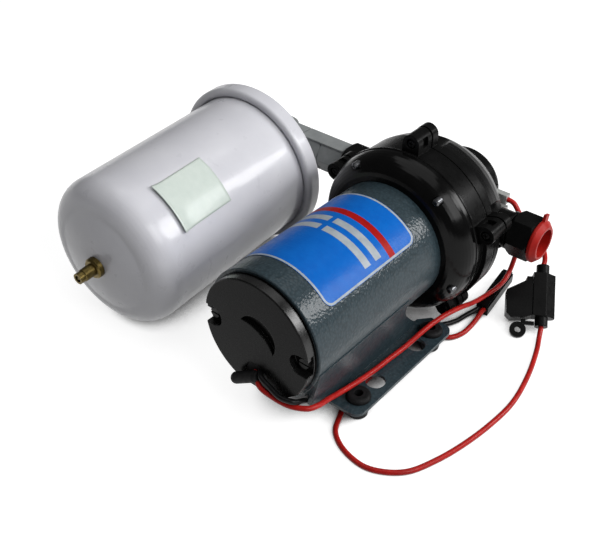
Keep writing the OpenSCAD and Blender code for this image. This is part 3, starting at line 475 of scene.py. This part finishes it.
def rounded_box(low, high, y0, y1, corner):
    """Outline of a rounded rectangle as (along, y) points, with points along its curved sides too."""
    outline = []
    for cx, cy, start in ((high - corner, y1 - corner, 0), (low + corner, y1 - corner, 90),
                          (low + corner, y0 + corner, 180), (high - corner, y0 + corner, 270)):
        for i in range(CORNER_STEPS + 1):
            a = math.radians(start + 90 / CORNER_STEPS * i)
            outline.append((cx + corner * math.cos(a), cy + corner * math.sin(a)))
        if start in (0, 180):
            x0 = outline[-1][0]
            x1 = low + corner if start == 0 else high - corner
            for i in range(1, SIDE_STEPS):
                outline.append((x0 + (x1 - x0) * i / SIDE_STEPS, outline[-1][1]))
    return outline


def outline_frame(name, box, corner, width, radius, look):
    """A thin printed frame along the inside of a rounded rectangle."""
    low, high, y0, y1 = box
    outer = rounded_box(low, high, y0, y1, corner)
    inner = rounded_box(low + width, high - width, y0 + width, y1 - width, corner - width)
    count = len(outer)
    points = [on_can(u, y, radius) for u, y in outer + inner]
    faces = [(i, (i + 1) % count, count + (i + 1) % count, count + i) for i in range(count)]
    put(name, points, faces, look)


def filled_patch(name, box, corner, radius, look, rows=1):
    """A printed patch, curved round the can, with rounded corners where a corner size is given."""
    low, high, y0, y1 = box
    points = []
    stops = [low + (high - low) * i / PATCH_COLUMNS for i in range(PATCH_COLUMNS + 1)]
    if corner > 0:
        turns = [math.radians(90 / CORNER_STEPS * i) for i in range(1, CORNER_STEPS + 1)]
        bends = [corner * (1 - math.cos(turn)) for turn in turns]
        stops = sorted(set(stops + [low + b for b in bends] + [high - b for b in bends]))
    for u in stops:
        inset = 0.0
        near = min(u - low, high - u)
        if near < corner:
            inset = corner - math.sqrt(max(0.0, corner ** 2 - (corner - near) ** 2))
        for k in range(rows + 1):
            points.append(on_can(u, y0 + inset + (y1 - y0 - 2 * inset) * k / rows, radius))
    return put(name, points, grid_faces(len(stops) - 1, rows), look)


ARC = degrees_along(LABEL_A[1])
film = filled_patch("label_film", (0, ARC, *LABEL_Y), LABEL_CORNER, LABEL_R, LOOKS["label"], rows=3)
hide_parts("motor_label")
border_box = (BORDER_INSET, ARC - BORDER_INSET, LABEL_Y[0] + BORDER_INSET, LABEL_Y[1] - BORDER_INSET)
outline_frame("label_border", border_box, LABEL_CORNER - BORDER_INSET, BORDER_WIDTH, PRINT_R, PALE_PRINT)
filled_patch("label_red_band", (BAND_INSET, ARC - BAND_INSET, *BAND_Y), 0, PRINT_R, RED_PRINT)
for row, (y0, y1) in enumerate(BOX_ROWS):
    for column, (a0, a1) in enumerate(BOX_COLUMNS):
        box = (degrees_along(a0), degrees_along(a1), y0, y1)
        filled_patch(f"label_box_{row}_{column}", box, 0, PRINT_R, PALE_PRINT)

# Tank sticker: a plain pale sheet whose front edge has come away from the enamel

def tank_frame():
    """The tank's frame: y along the air valve's joint, x level, origin in the middle of the tank's rim."""
    along = Vector(joints["air_valve_press"]["axis"]).normalized()
    across = Vector((along.y, -along.x, 0)).normalized()
    back = Matrix((across, along, across.cross(along)))
    rim = [back @ point for point in solid_points("tank_rim")]
    middle = [(min(values) + max(values)) / 2 for values in zip(*rim)]
    return back.transposed().to_4x4() @ Matrix.Translation(middle)


STICKER_LIFT = 0.1
TANK = tank_frame()
sticker_solid_r, STICKER_A, STICKER_Y = extent("tank_sticker", TANK)
STICKER_R = sticker_solid_r + STICKER_LIFT
STICKER_CURL = 1.9
CURLED_SHARE = 0.25
STICKER_THICK = 0.12
STICKER_COLUMNS = 24
STICKER_ROWS = 20


def sticker():
    """The sheet on the tank's side, curling up over the first part of its length."""
    points = []
    for i in range(STICKER_COLUMNS + 1):
        angle = math.radians(STICKER_A[0] + (STICKER_A[1] - STICKER_A[0]) * i / STICKER_COLUMNS)
        for k in range(STICKER_ROWS + 1):
            share = k / STICKER_ROWS
            radius = STICKER_R + STICKER_CURL * max(0.0, 1 - share / CURLED_SHARE) ** 2
            y = STICKER_Y[0] + (STICKER_Y[1] - STICKER_Y[0]) * share
            points.append(TANK @ Vector((radius * math.cos(angle), y, radius * math.sin(angle))))
    faces = grid_faces(STICKER_COLUMNS, STICKER_ROWS)
    piece = put("tank_sticker_sheet", points, faces, LOOKS["sticker"])
    thickness = piece.modifiers.new("thickness", "SOLIDIFY")
    thickness.thickness = STICKER_THICK * MM
    thickness.offset = 1
    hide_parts("tank_sticker")


sticker()

# Stage: even grey surroundings, a floor that shows white with painted shade near the object and under the can,
# soft studio light, in metres

WORLD_LEVEL = 0.12
FLOOR_GREY = (0.36, 0.36, 0.36, 1)
FLOOR_ROUGHNESS = 0.9
FLOOR_SHINE = 0.1
FLOOR_WHITE = 0.86
FLOOR_HALF = 30
# painted shade: SHADOW_REACH and SHADOW_OPENNESS darken the floor's white glow near the object by ambient
# occlusion
SHADOW_REACH = 0.05
SHADOW_OPENNESS = (0.18, 0.36)
# painted shade: the TUNNEL_ values place a dark patch on the floor's white glow under the can
TUNNEL_MIDDLE = (0, -0.015, 0)
TUNNEL_REACH = (0.028, 0.053, 1)
TUNNEL_FADE = (0.5, 1.15)

world = bpy.data.worlds.new("world")
world.use_nodes = True
bpy.context.scene.world = world
background = world.node_tree.nodes["Background"]
background.inputs["Color"].default_value = (1, 1, 1, 1)
background.inputs["Strength"].default_value = WORLD_LEVEL


def painted_tunnel_shade_mask(tree):
    """Painted shade mask: zero on the floor under the can, between the base's walls, rising softly to one round
    it; it darkens the floor's white glow there.
    """
    place = tree.nodes.new("ShaderNodeTexCoord").outputs["Object"]
    fitted = tree.nodes.new("ShaderNodeMapping")
    fitted.vector_type = "TEXTURE"
    fitted.inputs["Location"].default_value = TUNNEL_MIDDLE
    fitted.inputs["Scale"].default_value = TUNNEL_REACH
    tree.links.new(place, fitted.inputs["Vector"])
    away = tree.nodes.new("ShaderNodeVectorMath")
    away.operation = "LENGTH"
    tree.links.new(fitted.outputs["Vector"], away.inputs[0])
    edge = tree.nodes.new("ShaderNodeMapRange")
    edge.interpolation_type = "SMOOTHSTEP"
    edge.inputs["From Min"].default_value = TUNNEL_FADE[0]
    edge.inputs["From Max"].default_value = TUNNEL_FADE[1]
    tree.links.new(away.outputs["Value"], edge.inputs["Value"])
    return edge.outputs["Result"]


def floor_material():
    """Grey floor that shows white to the camera and in reflections, and keeps the object's shadow; its white glow
    carries painted shade, faded by ambient occlusion near the object and by a mask under the can.
    """
    material = bpy.data.materials.new("floor_white")
    material.use_nodes = True
    tree = material.node_tree
    shader = tree.nodes["Principled BSDF"]
    shader.inputs["Base Color"].default_value = FLOOR_GREY
    shader.inputs["Roughness"].default_value = FLOOR_ROUGHNESS
    shader.inputs["Specular IOR Level"].default_value = FLOOR_SHINE
    shader.inputs["Emission Color"].default_value = (1, 1, 1, 1)
    path = tree.nodes.new("ShaderNodeLightPath")
    seen = path.outputs["Is Camera Ray"]
    for other in ("Is Glossy Ray", "Is Transmission Ray"):
        either = tree.nodes.new("ShaderNodeMath")
        either.operation = "MAXIMUM"
        tree.links.new(seen, either.inputs[0])
        tree.links.new(path.outputs[other], either.inputs[1])
        seen = either.outputs[0]
    # painted shade: ambient occlusion fades the floor's white glow close to the object
    open_sky = tree.nodes.new("ShaderNodeAmbientOcclusion")
    open_sky.inputs["Distance"].default_value = SHADOW_REACH
    share = tree.nodes.new("ShaderNodeMapRange")
    share.inputs["From Min"].default_value = SHADOW_OPENNESS[0]
    share.inputs["From Max"].default_value = SHADOW_OPENNESS[1]
    share.inputs["To Max"].default_value = FLOOR_WHITE
    tree.links.new(open_sky.outputs["AO"], share.inputs["Value"])
    lit = tree.nodes.new("ShaderNodeMath")
    lit.operation = "MULTIPLY"
    tree.links.new(share.outputs["Result"], lit.inputs[0])
    # painted shade under the can, between the base's walls
    tree.links.new(painted_tunnel_shade_mask(tree), lit.inputs[1])
    level = tree.nodes.new("ShaderNodeMath")
    level.operation = "MULTIPLY"
    tree.links.new(seen, level.inputs[0])
    tree.links.new(lit.outputs[0], level.inputs[1])
    tree.links.new(level.outputs[0], shader.inputs["Emission Strength"])
    return material


floor_corners = [(FLOOR_HALF * x, FLOOR_HALF * y, 0) for x, y in ((-1, -1), (1, -1), (1, 1), (-1, 1))]
floor_mesh = bpy.data.meshes.new("floor")
floor_mesh.from_pydata(floor_corners, [], [(0, 1, 2, 3)])
floor_mesh.materials.append(floor_material())
floor = bpy.data.objects.new("floor", floor_mesh)
bpy.context.scene.collection.objects.link(floor)


def area_light(name, place, target, size, power, roll=0.0):
    """A rectangular lamp aimed at a point and turned about its aim by some degrees."""
    data = bpy.data.lights.new(name, "AREA")
    data.shape = "RECTANGLE"
    data.size, data.size_y = size
    data.energy = power
    lamp = bpy.data.objects.new(name, data)
    lamp.location = place
    aim = (Vector(target) - Vector(place)).to_track_quat("-Z", "Y").to_matrix()
    lamp.rotation_euler = (aim @ Matrix.Rotation(math.radians(roll), 3, "Z")).to_euler()
    bpy.context.scene.collection.objects.link(lamp)


area_light("top_light", (-0.1, 0.15, 1.3), (-0.03, 0.02, 0.05), (1.2, 1.2), 5.8)
area_light("window_light", (0.71, 0.61, 0.59), (-0.03, 0.0, 0.06), (0.38, 0.5), 7, roll=28)
area_light("side_light", (1.0, -0.1, 0.85), (-0.08, 0.0, 0.06), (0.8, 0.7), 10.5)
